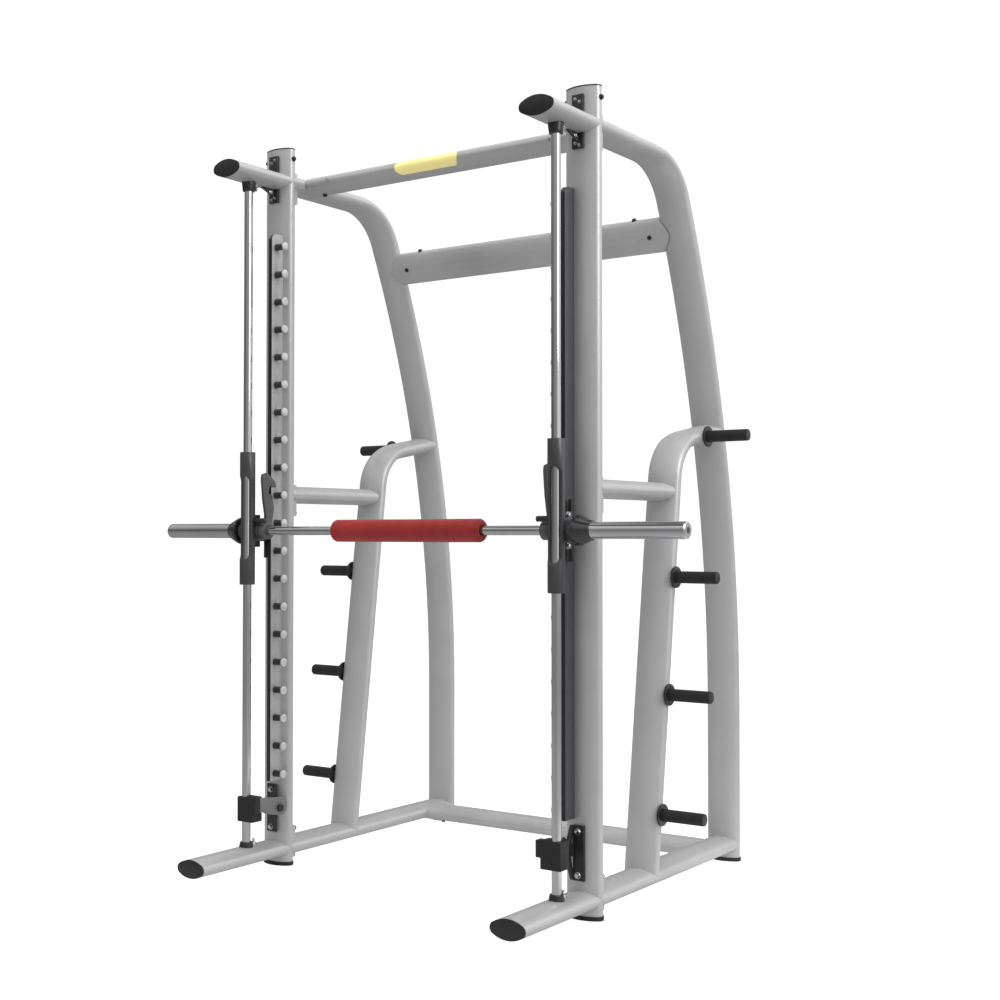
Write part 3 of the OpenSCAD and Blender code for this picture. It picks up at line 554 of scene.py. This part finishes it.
def world():
    """White to the camera; a soft studio to the object, darker in front and bright above.

    Reflections also see a dark gap in the light above, which gives the chrome its bands.
    """
    made = bpy.data.worlds.new("studio")
    made.use_nodes = True
    tree = made.node_tree
    tree.nodes.clear()
    out = tree.nodes.new("ShaderNodeOutputWorld")
    coords = tree.nodes.new("ShaderNodeTexCoord").outputs["Generated"]

    def toward(direction, low, high, to_low, to_high):
        """A ramp over how closely the ray points in a direction."""
        dot = tree.nodes.new("ShaderNodeVectorMath")
        dot.operation = "DOT_PRODUCT"
        tree.links.new(coords, dot.inputs[0])
        dot.inputs[1].default_value = direction
        ranged = tree.nodes.new("ShaderNodeMapRange")
        ranged.interpolation_type = "SMOOTHSTEP"
        tree.links.new(dot.outputs["Value"], ranged.inputs["Value"])
        for key, number in zip(RANGE_KEYS, (low, high, to_low, to_high)):
            ranged.inputs[key].default_value = number
        return ranged.outputs[0]

    def combine(operation, a, b):
        node = tree.nodes.new("ShaderNodeMath")
        node.operation = operation
        for socket, value in zip(node.inputs, (a, b)):
            if isinstance(value, float):
                socket.default_value = value
            else:
                tree.links.new(value, socket)
        return node.outputs[0]

    above = toward(UP, 0.05, 0.9, 0.0, 0.75)
    front = toward(TO_FRONT, 0.2, 1.0, 0.0, 0.20)
    right = toward(TO_RIGHT, 0.1, 0.85, 0.0, 0.72)
    total = combine("ADD", combine("ADD", above, front), right)
    strength = combine("ADD", total, WORLD_BASE)
    below_gap = toward(UP, 0.72, 0.82, 1.0, 0.16)
    above_gap = toward(UP, 0.93, 0.98, 0.0, 0.9)
    gap = combine("ADD", below_gap, above_gap)
    ray = tree.nodes.new("ShaderNodeLightPath").outputs
    plain = combine("SUBTRACT", 1.0, ray["Is Glossy Ray"])
    strength = combine("MULTIPLY", strength, combine("MAXIMUM", gap, plain))
    soft = tree.nodes.new("ShaderNodeBackground")
    tree.links.new(strength, soft.inputs["Strength"])
    white = tree.nodes.new("ShaderNodeBackground")
    white.inputs["Strength"].default_value = WORLD_WHITE
    for node in (soft, white):
        node.inputs["Color"].default_value = (1, 1, 1, 1)
    mix = tree.nodes.new("ShaderNodeMixShader")
    tree.links.new(ray["Is Camera Ray"], mix.inputs[0])
    tree.links.new(soft.outputs[0], mix.inputs[1])
    tree.links.new(white.outputs[0], mix.inputs[2])
    tree.links.new(mix.outputs[0], out.inputs["Surface"])
    bpy.context.scene.world = made


def softbox(name, place, target, width, height, watts, mirrored=True):
    """A rectangular lamp that faces target; reflections show it only if mirrored."""
    lamp = bpy.data.lights.new(name, "AREA")
    lamp.shape = "RECTANGLE"
    lamp.size, lamp.size_y = width, height
    lamp.energy = watts
    obj = bpy.data.objects.new(name, lamp)
    obj.location = place
    obj.visible_glossy = mirrored
    obj.rotation_euler = (Vector(target) - Vector(place)).to_track_quat("-Z", "Y").to_euler()
    bpy.context.scene.collection.objects.link(obj)


CAMERA_PLACE = (2.75433, -3.80924, 1.10298)
CAMERA_HEADING = math.radians(34.716)
CAMERA_PITCH = math.radians(1.346)
CAMERA_LENS = 51.489
SENSOR_WIDTH = 36.0


def camera():
    """Three-quarter view from the front right, at mid height."""
    level = Vector((-math.sin(CAMERA_HEADING), math.cos(CAMERA_HEADING), 0))
    right = Vector((math.cos(CAMERA_HEADING), math.sin(CAMERA_HEADING), 0))
    ahead = level * math.cos(CAMERA_PITCH) + Vector((0, 0, math.sin(CAMERA_PITCH)))
    up = right.cross(ahead)
    cam = bpy.data.cameras.new("camera")
    cam.lens = CAMERA_LENS
    cam.sensor_width = SENSOR_WIDTH
    cam.clip_start, cam.clip_end = 0.1, 200
    obj = bpy.data.objects.new("camera", cam)
    turn = Matrix((right, up, -ahead)).transposed()
    obj.matrix_world = Matrix.Translation(CAMERA_PLACE) @ turn.to_4x4()
    bpy.context.scene.collection.objects.link(obj)
    bpy.context.scene.camera = obj


floor()
world()
middle = (cad_lo + cad_hi) / 2
softbox("key", (3.6, -0.6, 3.2), middle, width=1.4, height=2.6, watts=60)
softbox("fill", (-2.6, -3.3, 1.9), middle, width=0.8, height=2.6, watts=34, mirrored=False)
softbox("top", (0.2, -0.6, 5.0), (0, 0, 0), width=3.0, height=2.4, watts=60, mirrored=False)
camera()
bpy.context.scene.view_settings.view_transform = "Standard"
